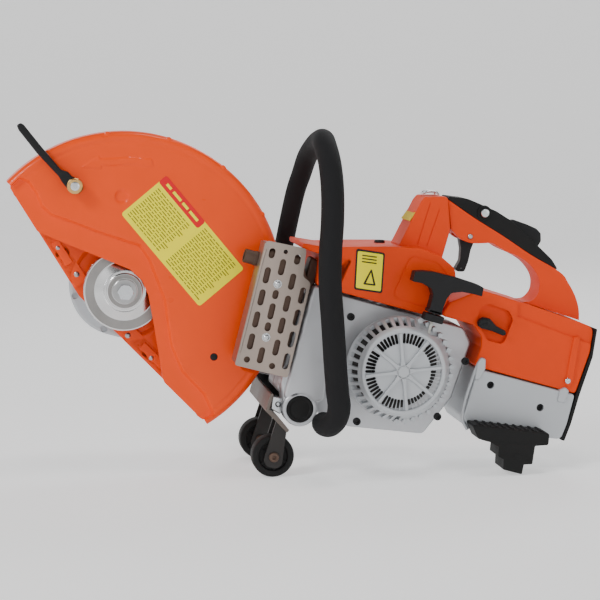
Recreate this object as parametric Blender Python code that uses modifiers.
"""Petrol cut-off saw: engine, cutting arm, disc guard, handles, wheels.

The saw is modelled in its own machine frame and then tipped back by TILT onto
its two wheels and its rear foot.  Machine frame, in millimetres until MM turns
them into metres: U runs from the spindle to the rear, Y to the right-hand side
and V up, with the origin where the spindle axis meets the disc's plane.
"""
import math

import bmesh
import bpy
from mathutils import Matrix, Vector

MM = 0.001

# ---- overall sizes ---------------------------------------------------------
TILT = 16.0               # degrees the saw leans back on its foot
DISC_SIZE = 350.0         # nominal size of the cutting disc the guard is for
GUARD_MARGIN = 15.0       # guard rim beyond the disc
GUARD_HALF = 24.0         # guard face to disc plane
GUARD_FRONT = 152.2       # where the guard's rim starts and ends, degrees
GUARD_REAR = -43.3
GUARD_KNEE = (-48.0, -23.0)   # where its two straight edges meet
SHEET = 2.0               # guard sheet thickness
BODY_NEAR = -72.0         # left-hand face of tank and covers
BODY_FAR = 34.0           # right-hand face of the tank
TAIL_U = 556.0            # rear end of the tank
WHEEL_R = 25.4
WHEEL_WIDTH = 20.0

# ---- clearances ------------------------------------------------------------
GAP = 0.3                 # between pieces that touch
RUN = 0.3                 # radial, between a shaft and its bore

# ---- spindle and drive -----------------------------------------------------
SHAFT_R = 10.0            # spindle
HUB_R = 30.0              # arm hub that the guard turns on
FLANGE_R = 48.5
DISC_SEAT = 3.6           # width of the seat between the two flanges
SPINDLE_PULLEY_R = 33.0
DRUM_PULLEY_R = 40.0
BELT_THICK = 4.0
BELT_WIDTH = 12.0
ARM_NEAR = 30.0
ARM_FAR = 50.0
COVER_FAR = 72.0
BELT_Y = 61.0             # mid-plane of the belt
SHAFT_END = 68.5          # right-hand end of spindle and crankshaft

# ---- engine ----------------------------------------------------------------
CRANK = (331.0, 1.0)      # crankshaft axis, U and V
CRANK_R = 8.0
WEB_R = 31.0
BORE_R = 23.5
STROKE = 34.0
ROD = 56.0
PISTON_LENGTH = 29.5
ENGINE_Y = -12.0          # cylinder's centre plane
LEAN = 30.0               # cylinder leans forward, degrees
FIN_R = 34.0
FLYWHEEL_R = 52.0
STARTER_FACE = -80.0
DRUM_FACE = -112.0
DRUM_R = 62.0
DRUM_FRONT_R = 51.0
REEL_R = 20.0             # rope winding radius
REEL_FLANGE_R = 34.0

# ---- controls --------------------------------------------------------------
GRIP_NEAR = -50.0
GRIP_FAR = -10.0
GRIP_MID = -30.0
PIN_R = 3.0
TUBE_R = 14.2             # front handle, foam covered
TUBE_FAR_R = 12.5
TUBE_NEAR_Y = -125.0
TUBE_FAR_Y = 90.0

# ---- places that more than one piece is built on, U and V -------------------
LEVER_BOLT = (-91.0, 106.0)
LUG = (232.0, -77.0)              # plugged opening in the crankcase
SHIELD_SCREWS = [(165.0, 60.0), (168.0, -4.0)]
VALVE = (281.0, -20.0, 137.1)     # decompression valve, U, Y and V
VALVE_AXIS = (-0.261, 0.0, 0.965)
CAP = (500.0, 70.0)               # fuel cap
TRIGGER_PIN = (380.0, 174.0)
BUTTON = (389.0, 206.0)           # start lock button
AXLE = (217.0, -140.0)            # support wheels


def clear_scene():
    for ob in list(bpy.data.objects):
        bpy.data.objects.remove(ob, do_unlink=True)


def new_collection(name):
    group = bpy.data.collections.new(name)
    bpy.context.scene.collection.children.link(group)
    return group


clear_scene()
PARTS = new_collection("rescue_saw")
CUTTERS = new_collection("cutters")
MACHINE = bpy.data.objects.new("machine", None)
bpy.context.scene.collection.objects.link(MACHINE)
MACHINE.rotation_euler = (0.0, math.radians(TILT), 0.0)
MATERIALS = {}


def material(name, colour, rough, metal=0.0):
    mat = bpy.data.materials.new(name)
    mat.use_nodes = True
    shader = mat.node_tree.nodes["Principled BSDF"]
    shader.inputs["Base Color"].default_value = (*colour, 1.0)
    shader.inputs["Roughness"].default_value = rough
    shader.inputs["Metallic"].default_value = metal
    mat.diffuse_color = (*colour, 1.0)
    MATERIALS[name] = mat


def make_materials():
    material("guard_orange", (0.80, 0.11, 0.02), 0.22)
    material("shell_orange", (0.72, 0.08, 0.02), 0.38)
    material("cast_grey", (0.45, 0.46, 0.47), 0.45, 0.7)
    material("cover_grey", (0.40, 0.41, 0.42), 0.50, 0.3)
    material("rubber_black", (0.02, 0.02, 0.02), 0.75)
    material("plastic_black", (0.02, 0.02, 0.022), 0.45)
    material("steel", (0.55, 0.55, 0.56), 0.30, 1.0)
    material("zinc", (0.62, 0.64, 0.66), 0.28, 1.0)
    material("stainless", (0.42, 0.37, 0.33), 0.42, 0.9)
    material("dark_steel", (0.10, 0.08, 0.07), 0.50, 0.8)
    material("bracket_steel", (0.16, 0.13, 0.11), 0.50, 0.7)
    material("belt_rubber", (0.03, 0.03, 0.03), 0.80)
    material("filter_foam", (0.25, 0.24, 0.20), 0.90)
    material("ceramic", (0.80, 0.80, 0.78), 0.30)


# ---- building blocks -------------------------------------------------------
def new_object(name, mesh):
    ob = bpy.data.objects.new(name, mesh)
    PARTS.objects.link(ob)
    ob.parent = MACHINE
    return ob


def curve_to_mesh(name, curve, matrix):
    """Turns a curve into a welded mesh object in machine coordinates."""
    guide = bpy.data.objects.new(name + "_curve", curve)
    bpy.context.scene.collection.objects.link(guide)
    bpy.context.view_layer.update()
    graph = bpy.context.evaluated_depsgraph_get()
    mesh = bpy.data.meshes.new_from_object(guide.evaluated_get(graph))
    bpy.data.objects.remove(guide, do_unlink=True)
    work = bmesh.new()
    work.from_mesh(mesh)
    bmesh.ops.remove_doubles(work, verts=work.verts, dist=1e-5)
    bmesh.ops.recalc_face_normals(work, faces=work.faces)
    work.to_mesh(mesh)
    work.free()
    mesh.transform(matrix)
    mesh.name = name
    return new_object(name, mesh)


def plate(name, points, y0, y1, holes=()):
    """A flat outline in U and V, extruded along Y from y0 to y1."""
    curve = bpy.data.curves.new(name, "CURVE")
    curve.dimensions = "2D"
    curve.fill_mode = "BOTH"
    curve.extrude = (y1 - y0) / 2 * MM
    for ring in (points, *holes):
        spline = curve.splines.new("POLY")
        spline.points.add(len(ring) - 1)
        for point, (u, v) in zip(spline.points, ring):
            point.co = (u * MM, v * MM, 0.0, 1.0)
        spline.use_cyclic_u = True
    turn = Matrix.Rotation(math.pi / 2, 4, "X")
    shift = Matrix.Translation((0.0, (y0 + y1) / 2 * MM, 0.0))
    return curve_to_mesh(name, curve, shift @ turn)


def tube(name, points, radii, sides=2):
    """A round bar along points (u, y, v); radii holds one radius a point."""
    curve = bpy.data.curves.new(name, "CURVE")
    curve.dimensions = "3D"
    curve.bevel_depth = MM
    curve.bevel_resolution = sides
    curve.use_fill_caps = True
    curve.twist_mode = "MINIMUM"
    spline = curve.splines.new("POLY")
    spline.points.add(len(points) - 1)
    for point, (u, y, v), radius in zip(spline.points, points, radii):
        point.co = (u * MM, y * MM, v * MM, 1.0)
        point.radius = radius
    return curve_to_mesh(name, curve, Matrix.Identity(4))


def box(name, low, high):
    """A box between two corners (u, y, v)."""
    mesh = bpy.data.meshes.new(name)
    work = bmesh.new()
    bmesh.ops.create_cube(work, size=1.0)
    size = [(b - a) * MM for a, b in zip(low, high)]
    middle = [(a + b) / 2 * MM for a, b in zip(low, high)]
    bmesh.ops.scale(work, vec=size, verts=work.verts)
    bmesh.ops.translate(work, vec=middle, verts=work.verts)
    work.to_mesh(mesh)
    work.free()
    return new_object(name, mesh)


def turned(name, profile, centre, axis=(0, -1, 0), steps=32):
    """A turned piece; profile is (radius, height) down its outer side.

    Heights run along axis from centre (u, y, v); with the default axis a
    height is minus Y, so pieces on a cross shaft list their profile from the
    left-hand face to the right-hand face.
    """
    mesh = bpy.data.meshes.new(name)
    work = bmesh.new()
    verts = [work.verts.new((r * MM, 0.0, h * MM)) for r, h in profile]
    for a, b in zip(verts, verts[1:]):
        work.edges.new((a, b))
    if profile[0][0] > 0.0 and profile[-1][0] > 0.0:
        work.edges.new((verts[-1], verts[0]))
    work.to_mesh(mesh)
    work.free()
    ob = new_object(name, mesh)
    screw = ob.modifiers.new("turn", "SCREW")
    screw.steps = steps
    screw.render_steps = steps
    screw.use_merge_vertices = True
    screw.merge_threshold = 1e-6
    screw.use_smooth_shade = False
    turn = Vector((0, 0, 1)).rotation_difference(Vector(axis))
    ob.rotation_mode = "QUATERNION"
    ob.rotation_quaternion = turn
    ob.location = [value * MM for value in centre]
    return ob


def disc(name, centre, radius, y0, y1, steps=32):
    """A plain round bar across the saw."""
    profile = [(0, -y0), (radius, -y0), (radius, -y1), (0, -y1)]
    return turned(name, profile, (centre[0], 0, centre[1]), steps=steps)


def ring(name, centre, inner, outer, y0, y1, steps=32):
    profile = [(inner, -y0), (outer, -y0), (outer, -y1), (inner, -y1)]
    return turned(name, profile, (centre[0], 0, centre[1]), steps=steps)


def hexagon(centre, across, turn=0.0):
    radius = across / 2 / math.cos(math.pi / 6)
    corners = [math.radians(turn + 60 * k) for k in range(6)]
    return [(centre[0] + radius * math.cos(a), centre[1] + radius * math.sin(a)) for a in corners]


def circle(centre, radius, count=16, start=0.0):
    angles = [math.radians(start + 360.0 * k / count) for k in range(count)]
    return [(centre[0] + radius * math.cos(a), centre[1] + radius * math.sin(a)) for a in angles]


def arc(centre, radius, first, last, count):
    angles = [math.radians(first + (last - first) * k / count) for k in range(count + 1)]
    return [(centre[0] + radius * math.cos(a), centre[1] + radius * math.sin(a)) for a in angles]


def rounded(points, radius, count=2):
    """Rounds every corner of an outline."""
    out = []
    total = len(points)
    for k, here in enumerate(points):
        here = Vector(here)
        back = Vector(points[k - 1]) - here
        ahead = Vector(points[(k + 1) % total]) - here
        angle = back.angle(ahead)
        reach = radius / math.tan(angle / 2)
        reach = min(reach, 0.45 * back.length, 0.45 * ahead.length)
        start = here + back.normalized() * reach
        end = here + ahead.normalized() * reach
        for step in range(count + 1):
            t = step / count
            point = start * (1 - t) ** 2 + here * 2 * t * (1 - t) + end * t ** 2
            out.append((point.x, point.y))
    return out


def smooth(points, per=3):
    """Catmull-Rom points through a path."""
    ends = [points[0], *points, points[-1]]
    out = []
    for a, b, c, d in zip(ends, ends[1:], ends[2:], ends[3:]):
        for k in range(per):
            t = k / per
            out.append(tuple(
                0.5 * (2 * q + (r - p) * t + (2 * p - 5 * q + 4 * r - s) * t ** 2
                       + (3 * q - p - 3 * r + s) * t ** 3)
                for p, q, r, s in zip(a, b, c, d)))
    out.append(tuple(points[-1]))
    return out


def hull(centre_a, radius_a, centre_b, radius_b, count=12):
    """The outline of a belt run round two circles."""
    gap = Vector(centre_b) - Vector(centre_a)
    heading = math.degrees(math.atan2(gap.y, gap.x))
    wrap = math.degrees(math.acos((radius_a - radius_b) / gap.length))
    first = arc(centre_a, radius_a, heading + wrap, heading + 360 - wrap, count)
    second = arc(centre_b, radius_b, heading - wrap, heading + wrap, count)
    return first + second


def boolean(target, tool, operation):
    modifier = target.modifiers.new(operation.lower(), "BOOLEAN")
    modifier.operation = operation
    modifier.solver = "EXACT"
    modifier.object = tool
    if tool.name in PARTS.objects:
        PARTS.objects.unlink(tool)
        CUTTERS.objects.link(tool)
    tool.hide_render = True
    tool.display_type = "WIRE"


def cut(target, *tools):
    for tool in tools:
        boolean(target, tool, "DIFFERENCE")


def join(target, *tools):
    for tool in tools:
        boolean(target, tool, "UNION")


def finish(ob, slot, pivot=None):
    """Gives a piece its material and, if it moves, its origin (u, y, v)."""
    if pivot is not None:
        shift = Vector(pivot) * MM - ob.location
        local = ob.rotation_quaternion.inverted() @ shift
        if ob.rotation_mode != "QUATERNION":
            local = shift
        ob.data.transform(Matrix.Translation(-local))
        ob.location += shift
    ob.data.materials.clear()
    ob.data.materials.append(MATERIALS[slot])
    return ob


# ---- guard -----------------------------------------------------------------
def guard_outline(radius):
    """The guard's round part, closed by two straight edges."""
    return [*arc((0, 0), radius, GUARD_REAR, GUARD_FRONT, 40), GUARD_KNEE]


def edge_strip(name, start, end, width):
    """A strip laid along the guard's straight edge, on the far half."""
    start = Vector(start)
    end = Vector(end)
    along = (end - start).normalized()
    inward = Vector((-along.y, along.x))
    corners = [start + inward * 2, end + inward * 2, end + inward * width, start + inward * width]
    return plate(name, corners, GUARD_HALF - SHEET - 3, GUARD_HALF - 1)


def guard():
    outer_r = DISC_SIZE / 2 + GUARD_MARGIN
    outline = guard_outline(outer_r)
    notch = [(-190, 45), (-118, 41), (-82, 37), (-24, 30), (-1, 27), (16, 18), (28, 3),
             (42, -26), (58, -60), (72, -91), (60, -160), (-190, -160)]
    swing = (0, 0, 0)

    near = plate("guard_outer", outline, -GUARD_HALF, -GAP / 2)
    inside = circle((0, 0), outer_r - SHEET, 64)
    cut(near, plate("cut_guard_near", inside, SHEET - GUARD_HALF, 5))
    cut(near, plate("cut_guard_notch", notch, -60, 60))
    cut(near, disc("cut_guard_port", (123, -48), 4.5, -30, -15, 12))
    cut(near, disc("cut_lever_hole", LEVER_BOLT, 4.3, -30, -15, 12))
    finish(near, "guard_orange", swing)

    far = plate("guard_inner", outline, GAP / 2, GUARD_HALF)
    cut(far, plate("cut_guard_far", inside, -5, GUARD_HALF - SHEET))
    cut(far, disc("cut_guard_hub", (0, 0), HUB_R + RUN, 10, 40, 32))
    join(far, edge_strip("strip_front", (-122, 44.5), (-56, -15.7), 20))
    join(far, edge_strip("strip_rear", (6, -53.8), (98, -106.3), 20))
    finish(far, "guard_orange", swing)


def guard_lever():
    face = -GUARD_HALF - GAP
    outline = [(-84, 98), (-80, 106), (-87, 114), (-97, 116), (-103, 120), (-111, 120), (-140, 140),
               (-166, 159), (-170, 160), (-174, 156), (-170, 151), (-143, 131), (-112, 112),
               (-106, 106), (-96, 99)]
    lever = plate("guard_lever", outline, face - 12, face, [circle(LEVER_BOLT, 4.3, 12)])
    finish(lever, "rubber_black", (0, 0, 0))
    bolt = plate("guard_lever_bolt", hexagon(LEVER_BOLT, 13, 16), face - 18, face - 12 - GAP)
    join(bolt, disc("shank_lever", LEVER_BOLT, 4.0, face - 14, -GUARD_HALF + SHEET + 8, 12))
    finish(bolt, "zinc", (0, 0, 0))
    inner = -GUARD_HALF + SHEET + GAP
    nut = plate("guard_lever_nut", hexagon(LEVER_BOLT, 13), inner, inner + 6, [circle(LEVER_BOLT, 4.3, 12)])
    finish(nut, "zinc", (0, 0, 0))


# ---- spindle ---------------------------------------------------------------
def spindle():
    seat = DISC_SEAT / 2
    hub_end = 9.5
    shaft = turned("spindle_shaft", [
        (0, 13), (SHAFT_R, 13), (SHAFT_R, -SHAFT_END), (0, -SHAFT_END)], (0, 0, 0), steps=24)
    cut(shaft, disc("cut_shaft_thread", (0, 0), 4.3, -20, 12, 12))
    finish(shaft, "steel")
    bore = SHAFT_R + GAP
    inner = turned("inner_flange", [
        (bore, -seat), (FLANGE_R, -seat), (FLANGE_R, -seat - 4), (24, -hub_end + 1.5),
        (bore, -hub_end + 1.5)],
        (0, 0, 0), steps=32)
    finish(inner, "zinc")
    outer = turned("outer_flange", [
        (bore, 14), (20, 14), (21, 12.5), (24, 12.5), (35, 8), (FLANGE_R - 2, 8), (FLANGE_R, 6),
        (FLANGE_R, seat), (bore, seat)], (0, 0, 0), steps=40)
    finish(outer, "zinc")
    head = plate("spindle_bolt", hexagon((0, 0), 17, 10), -28, -17)
    join(head, disc("bolt_washer", (0, 0), 15, -17.2, -14 - GAP, 24))
    join(head, disc("bolt_shank", (0, 0), 4.0, -17, 8, 12))
    finish(head, "zinc", (0, 0, 0))
    y0 = BELT_Y - BELT_WIDTH / 2
    pulley = turned("spindle_pulley", [
        (bore, -y0 + 2), (SPINDLE_PULLEY_R + 2, -y0 + 2), (SPINDLE_PULLEY_R + 2, -y0 + GAP + 0.2),
        (SPINDLE_PULLEY_R, -y0 + GAP + 0.2), (SPINDLE_PULLEY_R, -y0 - BELT_WIDTH - GAP),
        (bore, -y0 - BELT_WIDTH - GAP)], (0, 0, 0), steps=32)
    finish(pulley, "steel")


def arm():
    """Casting that carries the spindle, with its belt and belt cover."""
    neck = hull((0, 0), 50, CRANK, 56, 10)
    body = plate("cutting_arm", neck, ARM_NEAR, ARM_FAR)
    join(body, disc("arm_hub", (0, 0), HUB_R, 9.5, ARM_NEAR + 5, 28))
    join(body, ring("arm_foot", CRANK, 46, 54, 26 + GAP, ARM_NEAR + 5, 28))
    cut(body, disc("cut_arm_drum", CRANK, DRUM_PULLEY_R + 4, 20, 60, 28))
    bearing = SHAFT_R + 8
    cut(body, disc("cut_arm_bearing", (0, 0), bearing + GAP, 12, ARM_FAR + 5, 24))
    cut(body, disc("cut_arm_shaft", (0, 0), SHAFT_R + 2, 0, 20, 24))
    finish(body, "cast_grey")
    race = ring("spindle_bearing", (0, 0), SHAFT_R + RUN, bearing, 12 + GAP, ARM_FAR - 2, 24)
    finish(race, "steel")

    belt_r = [radius + RUN for radius in (SPINDLE_PULLEY_R, DRUM_PULLEY_R)]
    inner = hull((0, 0), belt_r[0], CRANK, belt_r[1], 14)
    outer = hull((0, 0), belt_r[0] + BELT_THICK, CRANK, belt_r[1] + BELT_THICK, 14)
    y0 = BELT_Y - BELT_WIDTH / 2
    belt = plate("drive_belt", outer, y0, y0 + BELT_WIDTH, [inner])
    finish(belt, "belt_rubber")

    shell = plate("belt_cover", hull((0, 0), 63, CRANK, 62, 14), ARM_FAR + GAP, COVER_FAR)
    room = hull((0, 0), 44, CRANK, 50, 14)
    cut(shell, plate("cut_belt_room", room, ARM_FAR - 5, COVER_FAR - 2.5))
    cut(shell, disc("cut_cover_screw", (-51, -27), 3.5, 40, 62, 10))
    finish(shell, "cast_grey")


# ---- engine ----------------------------------------------------------------
def stroke_axis():
    lean = math.radians(LEAN)
    return Vector((-math.sin(lean), 0.0, math.cos(lean)))


def crank_group():
    u, v = CRANK
    left = turned("crankshaft_left", [
        (0, 61), (CRANK_R, 61), (CRANK_R, 28), (WEB_R, 28), (WEB_R, 18), (0, 18)], (u, 0, v), steps=28)
    finish(left, "steel")
    right = turned("crankshaft", [
        (0, 6), (WEB_R, 6), (WEB_R, -4), (CRANK_R, -4), (CRANK_R, -SHAFT_END), (0, -SHAFT_END)],
        (u, 0, v), steps=28)
    finish(right, "steel")
    wheel = turned("flywheel", [
        (CRANK_R + GAP, 70), (16, 70), (16, 66), (FLYWHEEL_R, 62), (FLYWHEEL_R, 56),
        (CRANK_R + GAP, 56)], (u, 0, v), steps=32)
    finish(wheel, "cast_grey")
    hub = ring("clutch_hub", CRANK, CRANK_R + GAP, 33, 34, 48, 24)
    finish(hub, "steel")
    y0 = BELT_Y - BELT_WIDTH / 2
    y1 = BELT_Y + BELT_WIDTH / 2 + GAP
    drum = turned("clutch_drum", [
        (DRUM_PULLEY_R - 4, -32), (DRUM_PULLEY_R, -32), (DRUM_PULLEY_R, -y0 + 3),
        (DRUM_PULLEY_R + 2, -y0 + 2), (DRUM_PULLEY_R + 2, -y0 + GAP + 0.2),
        (DRUM_PULLEY_R, -y0 + GAP + 0.2), (DRUM_PULLEY_R, -y1), (CRANK_R + RUN, -y1),
        (CRANK_R + RUN, -y0 + 3), (DRUM_PULLEY_R - 4, -y0 + 3)], (u, 0, v), steps=32)
    finish(drum, "steel")


def cylinder_group():
    up = stroke_axis()
    u, v = CRANK
    foot = (u, ENGINE_Y, v)
    roof = STROKE / 2 + ROD + 24
    fins = [(0, roof + 10), (FIN_R, roof + 9), (FIN_R, roof + 6)]
    for k in range(1, 4):
        top = roof + 6 - 13 * k
        fins += [(28, top + 8), (28, top + 1), (FIN_R, top), (FIN_R, top - 3)]
    fins += [(28, roof - 38), (28, 46), (0, 46)]
    barrel = turned("cylinder", fins, foot, up, 20)
    cut(barrel, turned("cut_bore", [(0, roof), (BORE_R, roof), (BORE_R, 30), (0, 30)], foot, up, 20))
    plug_way = [(0, roof + 20), (5.3, roof + 20), (5.3, roof - 5), (0, roof - 5)]
    cut(barrel, turned("cut_plug_hole", plug_way, foot, up, 12))
    finish(barrel, "cast_grey")
    plug = turned("spark_plug", [
        (0, roof + 30), (4, roof + 30), (4, roof + 22), (8, roof + 20), (8, roof + 10.3),
        (5, roof + 10.3), (5, roof + 2), (0, roof + 2)], foot, up, 12)
    finish(plug, "ceramic")

    crown = STROKE / 2 + ROD + 20
    skirt = crown - PISTON_LENGTH
    piston = turned("piston", [
        (0, crown), (BORE_R - RUN, crown), (BORE_R - RUN, skirt), (BORE_R - 3, skirt),
        (BORE_R - 3, crown - 6), (0, crown - 6)], foot, up, 24)
    finish(piston, "steel")
    eye = STROKE / 2 + ROD
    big = STROKE / 2
    centre = Vector((u, 0, v))
    top = centre + up * eye
    low = centre + up * big
    side = Vector((up.z, 0, -up.x))
    shank = [low + side * 6, top + side * 5, top - side * 5, low - side * 6]
    y0 = ENGINE_Y - 4
    rod = plate("con_rod", [(p.x, p.z) for p in shank], y0, y0 + 8)
    join(rod, disc("rod_big", (low.x, low.z), 12, ENGINE_Y - 5, ENGINE_Y + 5, 20))
    join(rod, disc("rod_small", (top.x, top.z), 9, ENGINE_Y - 5, ENGINE_Y + 5, 20))
    join(rod, disc("wrist_pin", (top.x, top.z), 5, ENGINE_Y - 16, ENGINE_Y + 16, 12))
    finish(rod, "steel", tuple(low))


def case_outline():
    return rounded([(246, 66), (404, 66), (418, 50), (414, -20), (392, -72), (300, -86), (262, -80),
                    (201, -66), (201, -30), (206, 66)], 6, 1)


def crankcase():
    middle = ENGINE_Y
    crank_room = disc("cut_crank_room", CRANK, WEB_R + 3, -31, 7, 28)
    way = disc("cut_crank_way", CRANK, CRANK_R + RUN, -90, 60, 20)
    up = stroke_axis()
    foot = (CRANK[0], ENGINE_Y, CRANK[1])
    throat = turned("cut_throat", [
        (0, 150), (FIN_R + 1.5, 150), (FIN_R + 1.5, 53), (30, 53), (30, 45), (0, 45)], foot, up, 20)
    neck = turned("cut_rod_way", [(0, 60), (BORE_R + 1, 60), (BORE_R + 1, 10), (0, 10)], foot, up, 20)
    left = plate("crankcase_left", case_outline(), -49, middle - GAP / 2)
    front = rounded([(207, 69.4), (241, 68), (258, -60), (240, -70), (209, -69)], 4, 1)
    join(left, plate("case_front", front, BODY_NEAR, -20))
    join(left, disc("case_lug", LUG, 21, BODY_NEAR, -57, 24))
    cut(left, disc("cut_lug", LUG, 16 + GAP, BODY_NEAR - 5, -62, 24))
    right = plate("crankcase_right", case_outline(), middle + GAP / 2, 26)
    for half in (left, right):
        cut(half, crank_room, way, throat, neck)
        finish(half, "cast_grey")
    plug = disc("lug_plug", LUG, 16, BODY_NEAR - 0.5, -62 - GAP, 24)
    finish(plug, "rubber_black")


# ---- starter ---------------------------------------------------------------
def starter():
    outline = rounded([(248, 67), (404, 69), (418, 58), (419, 23), (409, -35), (391, -72), (300, -87),
                       (280, -83), (266, -66)], 6, 1)
    cover = plate("starter_cover", outline, STARTER_FACE, -49 - GAP)
    u, v = CRANK
    drum = turned("cover_drum", [
        (0, -DRUM_FACE), (DRUM_FRONT_R - 4, -DRUM_FACE), (DRUM_FRONT_R, -DRUM_FACE - 4),
        (DRUM_R, -STARTER_FACE - 3), (0, -STARTER_FACE - 3)], (u, 0, v), steps=40)
    join(cover, drum)
    inside = turned("cut_drum", [
        (0, -DRUM_FACE - 3), (DRUM_FRONT_R - 5, -DRUM_FACE - 3), (DRUM_R - 4, -STARTER_FACE - 1),
        (DRUM_R - 4, 77), (FLYWHEEL_R + 4, 77), (FLYWHEEL_R + 4, 40), (0, 40)], (u, 0, v), steps=40)
    cut(cover, inside)
    for k in range(8):
        a = math.radians(22.5 + 16 + 45 * k)
        reach = [Vector((math.cos(a), math.sin(a))) * r for r in (33, 45)]
        side = Vector((-math.sin(a), math.cos(a)))
        corners = [reach[0] - side * 8, reach[1] - side * 12, reach[1] + side * 12, reach[0] + side * 8]
        slot = [(u + p.x, v + p.y) for p in corners]
        cut(cover, plate("cut_slot_%d" % k, slot, DRUM_FACE - 5, DRUM_FACE + 8))
    cut(cover, box("cut_rope_notch", (338, -104, 50), (364, -86, 80)))
    finish(cover, "cover_grey")
    reel_y = -95.0
    reel = turned("starter_reel", [
        (5, 103), (REEL_FLANGE_R, 103), (REEL_FLANGE_R, 101), (REEL_R, 101), (REEL_R, 89),
        (REEL_FLANGE_R, 89), (REEL_FLANGE_R, 87), (5, 87)], (u, 0, v), steps=32)
    finish(reel, "plastic_black")
    t_bar = [(313, 106), (313, 117), (318, 121), (335, 124), (366, 124), (392, 123), (398, 120),
             (398, 112), (394, 109), (376, 109), (364, 104), (357, 94), (357, 76), (342, 76), (342, 94),
             (335, 102), (318, 103)]
    pull = plate("starter_handle", t_bar, reel_y - 10, reel_y + 8)
    finish(pull, "plastic_black", (350, reel_y, 76))
    guide = plate("rope_guide", [(339, 66), (363, 66), (363, 75), (339, 75)], -103.5, -86.5,
                  [circle((351, 70.5), 2.2, 8)])
    finish(guide, "plastic_black")


# ---- exhaust ---------------------------------------------------------------
def exhaust():
    silencer = plate("muffler", rounded([(145, -42), (199, -41), (198, 74), (184, 98), (143, 98)], 4, 1),
                     -74, -29)
    join(silencer, box("muffler_port", (190, -40, 20), (202.8, -30, 60)))
    finish(silencer, "dark_steel")
    face = [(142, -45), (203, -44), (201, 76), (186, 106), (136, 104)]
    shield = plate("muffler_shield", face, -78, -74 - GAP)
    join(shield, plate("shield_lip", [(136, 104), (142, -45), (144.5, -45), (138.5, 104)], -76, -40))
    join(shield, plate("shield_top", [(136, 101), (136, 104), (186, 106), (187, 103)], -76, -50))
    along = Vector((-0.041, 1.0)).normalized()
    across = Vector((1.0, 0.041)).normalized()
    for column in range(4):
        for row in range(5):
            start = -34 + 27 * row + (13.5 if column % 2 else 0)
            middle = Vector((150.5, 0)) + across * (15.2 * column) + along * (start + 8)
            if middle.y > 93:
                continue
            corners = [middle + along * 10 + across * 3, middle + along * 10 - across * 3,
                       middle - along * 10 - across * 3, middle - along * 10 + across * 3]
            slot = [(p.x, p.y) for p in corners]
            if any((Vector(s) - middle).length < 13 for s in SHIELD_SCREWS):
                continue
            cut(shield, plate("cut_vent_%d_%d" % (column, row), slot, -82, -60))
    finish(shield, "stainless")
    for name, centre in zip(("upper", "lower"), SHIELD_SCREWS):
        screw = turned("shield_screw_" + name, [(0, 81.5), (3, 81), (5, 78 + GAP), (0, 78 + GAP)],
                       (centre[0], 0, centre[1]), steps=12)
        finish(screw, "zinc")
    pipe = turned("exhaust_pipe", [(6.8, 24), (8.3, 24), (8.3, 2.5), (6.8, 2.5)],
                  (145, -52, 81), (-1, 0, 0), 20)
    cut(shield, turned("cut_pipe_way", [(0, 15), (9.5, 15), (9.5, -5), (0, -5)],
                       (145, -52, 81), (-1, 0, 0), 16))
    finish(pipe, "dark_steel")


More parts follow.
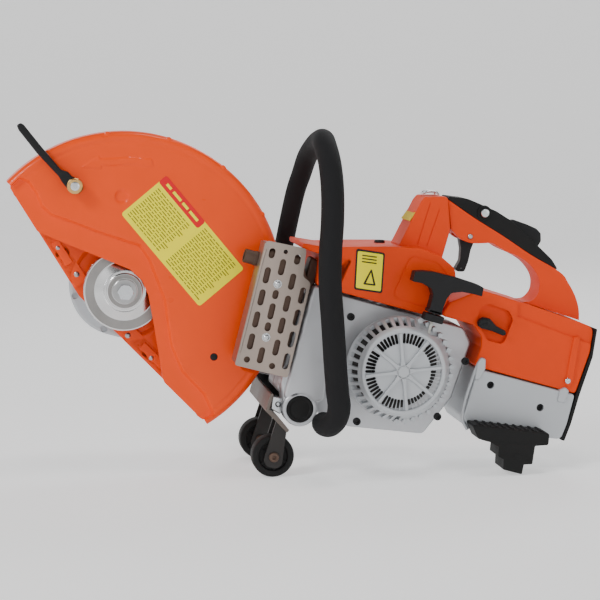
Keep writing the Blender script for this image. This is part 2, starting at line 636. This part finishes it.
# ---- body shells -----------------------------------------------------------
def shells():
    lid_outline = rounded([(180, 114), (183, 107.5), (204, 107), (210, 70), (362, 70), (368, 90),
                           (371, 121), (366, 133), (345, 142.5), (321, 145), (288, 139), (251, 129),
                           (210, 117)], 4, 1)
    lid = plate("top_cover", lid_outline, BODY_NEAR - 3, 26)
    inner = [(207, 111.5), (214, 60), (358, 60), (364, 90), (366, 121), (362, 130), (343, 138.5),
             (321, 141), (289, 135), (252, 125)]
    cut(lid, plate("cut_lid", inner, BODY_NEAR, 23))
    cut(lid, turned("cut_valve_way", [(0, 20), (7, 20), (7, -20), (0, -20)], VALVE, VALVE_AXIS, 16))
    finish(lid, "shell_orange")

    tank_outline = rounded([(366, 74), (408, 74), (422, 62), (425, 50), (424, 26), (TAIL_U, 25),
                            (TAIL_U + 3, 78), (TAIL_U - 1, 109), (470, 114.5), (405, 116.5),
                            (372, 92)], 5, 2)
    tank = plate("rear_tank", tank_outline, BODY_NEAR, BODY_FAR)
    room = rounded([(432, 30), (TAIL_U - 5, 29), (TAIL_U - 2, 78), (TAIL_U - 5, 104), (470, 110),
                    (432, 111)], 5, 1)
    cut(tank, plate("cut_tank", room, BODY_NEAR + 4, BODY_FAR - 4))
    cut(tank, disc("cut_neck", CAP, 15, 10, BODY_FAR + 5, 20))
    finish(tank, "shell_orange")
    cap = turned("fuel_cap", [
        (0, -BODY_FAR + 8), (14.6, -BODY_FAR + 8), (14.6, -BODY_FAR - GAP), (21, -BODY_FAR - GAP),
        (21, -BODY_FAR - 11), (19, -BODY_FAR - 13), (0, -BODY_FAR - 13)], (CAP[0], 0, CAP[1]), steps=24)
    finish(cap, "plastic_black")

    low = rounded([(428, 24), (427, -37), (438, -49), (452, -50), (TAIL_U - 2, -33), (TAIL_U, -13),
                   (TAIL_U - 1, 24)], 4, 1)
    lower = plate("lower_rear_cover", low, BODY_NEAR - 2, BODY_FAR + 2)
    finish(lower, "cast_grey")
    strip = [(TAIL_U + 0.8, 24), (TAIL_U + 0.8, -12), (TAIL_U - 1.2, -34), (TAIL_U + 3, -34),
             (TAIL_U + 5, -12), (TAIL_U + 5, 24), (TAIL_U + 7.5, 74), (TAIL_U + 3, 108),
             (TAIL_U + 0.5, 108), (TAIL_U + 3.6, 78)]
    seal = plate("rear_gasket", strip, BODY_NEAR - 1, BODY_FAR + 1)
    finish(seal, "rubber_black")
    foot = [(445, -49.6 - GAP), (452, -50 - GAP), (526, -38.2), (528, -40), (513, -45), (516, -67),
            (506, -70), (507, -82), (483, -82), (480, -70), (472, -68), (470, -57), (458, -54),
            (446, -54)]
    base = plate("rear_foot", foot, -108, 20)
    step = [(430, -39), (526, -26), (529, -40), (513, -45), (443, -54)]
    join(base, plate("foot_step", step, -108, BODY_NEAR - 2 - GAP))
    finish(base, "rubber_black")


def small_body_parts():
    valve = turned("decompression_valve", [
        (0, 3.5), (6.2, 3.5), (6.5, 2.5), (6.5, -6), (0, -6)], VALVE, VALVE_AXIS, 16)
    finish(valve, "plastic_black")
    knob = [(411, 80), (413, 74), (419, 72), (432, 70), (445, 66), (448, 69), (446, 73), (434, 80),
            (424, 86), (415, 86)]
    choke = plate("choke_lever", knob, BODY_NEAR - 10, BODY_NEAR - GAP)
    finish(choke, "plastic_black", (418, BODY_NEAR - 5, 79))
    carb = box("carburettor", (336, -34, 84), (360, 10, 116))
    finish(carb, "cast_grey")


# ---- grips -----------------------------------------------------------------
def rear_grip():
    tower_side = [(298, 146), (309, 199), (312, 205.5), (339, 213), (353, 176), (353, 141.5),
                  (345, 143.5), (321, 146), (310, 144)]
    tower = plate("filter_tower", tower_side, GRIP_NEAR - 4, GRIP_FAR + 4)
    room = [(306, 130), (316, 197), (335, 203), (346, 174), (346, 130)]
    cut(tower, plate("cut_tower", room, GRIP_NEAR, GRIP_FAR))
    finish(tower, "shell_orange")
    element = plate("air_filter", [(312, 154), (319, 192), (332, 198), (341, 172), (341, 154)],
                    GRIP_NEAR + 3, GRIP_FAR - 3)
    finish(element, "filter_foam")
    latch = plate("filter_latch", [(312, 206.4), (331, 211.7), (330, 216), (316, 214), (311, 210)], -40, -20)
    finish(latch, "plastic_black", (331, -30, 212))

    arch = [(341, 209.5), (380, 196.5), (419, 185.5), (460, 172.5), (501, 162), (515, 152), (527, 140),
            (536, 126), (541, 111.6), (474, 115), (482, 130), (481, 138), (477, 148), (469, 156),
            (457, 163), (442, 166), (424, 169), (409, 174), (400, 170), (384, 167), (370, 168),
            (359, 174), (355, 176)]
    grip = plate("rear_handle", arch, GRIP_NEAR, GRIP_FAR)
    slot = [(362, 150), (362, 184), (398, 184), (398, 150)]
    cut(grip, plate("cut_trigger_slot", slot, GRIP_MID - 7, GRIP_MID + 7))
    cut(grip, disc("cut_trigger_pin", TRIGGER_PIN, PIN_R + GAP, -70, 20, 12))
    cut(grip, plate("cut_lockout_low", [(424, 176), (424, 220), (474, 220), (474, 176)],
                    GRIP_MID - 6, GRIP_MID + 6))
    finish(grip, "shell_orange")
    top = [(341.5, 213.6), (341.5, 209.8), (380, 196.8), (419, 185.8), (460, 172.8), (500, 162.6),
           (487, 174), (470, 183), (445, 195.5), (424, 206), (403, 212), (381, 215), (364, 217)]
    insert = plate("handle_grip", top, GRIP_NEAR + 1, GRIP_FAR - 1)
    cut(insert, plate("cut_lockout_top", [(424, 160), (424, 230), (474, 230), (474, 160)],
                      GRIP_MID - 6, GRIP_MID + 6))
    cut(insert, disc("cut_button", BUTTON, 5.8, -60, GRIP_NEAR + 8, 16))
    finish(insert, "rubber_black")
    fin = [(426, 197), (426, 206), (431, 208), (448, 207), (462, 205), (469, 201), (472, 192),
           (470, 184), (455, 189), (440, 194)]
    lock = plate("throttle_lockout", fin, GRIP_MID - 4.5, GRIP_MID + 4.5)
    finish(lock, "plastic_black", (429, GRIP_MID, 200))
    button = disc("start_lock_button", BUTTON, 5.2, GRIP_NEAR - 4, GRIP_NEAR + 3, 16)
    finish(button, "steel")
    lever = [(366, 176), (372, 167), (377, 157), (380, 143), (377, 131), (381, 129), (389, 131),
             (390, 145), (389, 158), (390, 168), (389, 178), (380, 182), (370, 181)]
    trigger = plate("trigger", lever, GRIP_MID - 6, GRIP_MID + 6, [circle(TRIGGER_PIN, PIN_R + RUN, 12)])
    finish(trigger, "plastic_black", (TRIGGER_PIN[0], GRIP_MID, TRIGGER_PIN[1]))
    pin = disc("trigger_pin", TRIGGER_PIN, PIN_R, GRIP_NEAR - 1, GRIP_FAR + 1, 12)
    finish(pin, "steel")


def front_handle():
    near = TUBE_NEAR_Y
    far = TUBE_FAR_Y
    path = [(254, BODY_NEAR - 2, -80), (254, -88, -80), (260, -106, -79), (266, near + 6, -70),
            (265, near + 1, -56),
            (258, near, -40), (246, near, -8), (231, near, 34), (215, near, 78), (205, near + 1, 115),
            (198, near + 5, 150), (190, near + 13, 183), (182, near + 32, 212), (176, near + 63, 232),
            (178, near + 95, 237), (181, near + 130, 236), (182, near + 160, 230), (182, near + 190, 214),
            (184, far - 6, 190), (184, far, 165), (187, far, 115), (193, far, 50), (200, far, -20),
            (205, far, -55), (214, far - 8, -76), (228, far - 28, -79), (240, far - 45, -79), (243, 28, -79)]
    points = smooth(path, 2)
    last = len(points) - 1
    share = [min(1.0, max(0.0, (k / last - 0.5) * 4)) for k in range(last + 1)]
    radii = [TUBE_R + (TUBE_FAR_R - TUBE_R) * s for s in share]
    bar = tube("front_handle", points, radii, 2)
    finish(bar, "rubber_black")


# ---- wheels ----------------------------------------------------------------


def wheels():
    near_mid = -60.0
    far_mid = 50.0
    sheet = [(192, -67), (196, -67), (196, -86), (209, -92), (226, -104), (224, -108), (206, -97),
             (192, -89)]
    bracket = plate("wheel_bracket", sheet, near_mid - 16, far_mid + 16)
    for middle in (near_mid, far_mid):
        for side in (-1, 1):
            y = middle + side * (WHEEL_WIDTH / 2 + 2.5)
            ear = [(208, -95.5), (223, -104.8), (229, -147), (223, -153), (212, -153), (206, -147)]
            cheek = plate("ear_%d_%d" % (middle, side), ear, y - 1.5, y + 1.5,
                          [circle(AXLE, 4 + RUN, 12)])
            join(bracket, cheek)
    finish(bracket, "bracket_steel")
    for name, middle in (("near", near_mid), ("far", far_mid)):
        half = WHEEL_WIDTH / 2
        tread = [(4 + RUN, half), (10, half), (12, half - 3), (18, half), (WHEEL_R - 2, half),
                 (WHEEL_R, half - 2), (WHEEL_R, 2 - half), (WHEEL_R - 2, -half), (18, -half),
                 (12, 3 - half), (10, -half), (4 + RUN, -half)]
        wheel = turned(name + "_wheel", tread, (AXLE[0], middle, AXLE[1]), steps=28)
        finish(wheel, "rubber_black")
        face = half + 4 + GAP
        bolt = turned(name + "_axle_bolt", [
            (0, face + 4), (6, face + 4), (6, face), (4, face), (4, -face - 3), (0, -face - 3)],
            (AXLE[0], middle, AXLE[1]), steps=12)
        finish(bolt, "zinc")
    clamp = plate("bracket_clamp", [(199, -72), (213, -72), (219, -86), (213, -91), (201, -88)], -56, -46)
    finish(clamp, "zinc")


def settle():
    """Puts the origin under the middle of the saw's box, on the floor."""
    bpy.context.view_layer.update()
    graph = bpy.context.evaluated_depsgraph_get()
    points = []
    for ob in PARTS.objects:
        shown = ob.evaluated_get(graph)
        mesh = shown.to_mesh()
        points += [shown.matrix_world @ vert.co for vert in mesh.vertices]
        shown.to_mesh_clear()
    low = [min(point[k] for point in points) for k in range(3)]
    high = [max(point[k] for point in points) for k in range(3)]
    MACHINE.location = (-(low[0] + high[0]) / 2, -(low[1] + high[1]) / 2, -low[2])
    bpy.context.view_layer.update()


def build():
    make_materials()
    guard()
    guard_lever()
    spindle()
    arm()
    crank_group()
    cylinder_group()
    crankcase()
    starter()
    exhaust()
    shells()
    small_body_parts()
    rear_grip()
    front_handle()
    wheels()
    settle()


build()
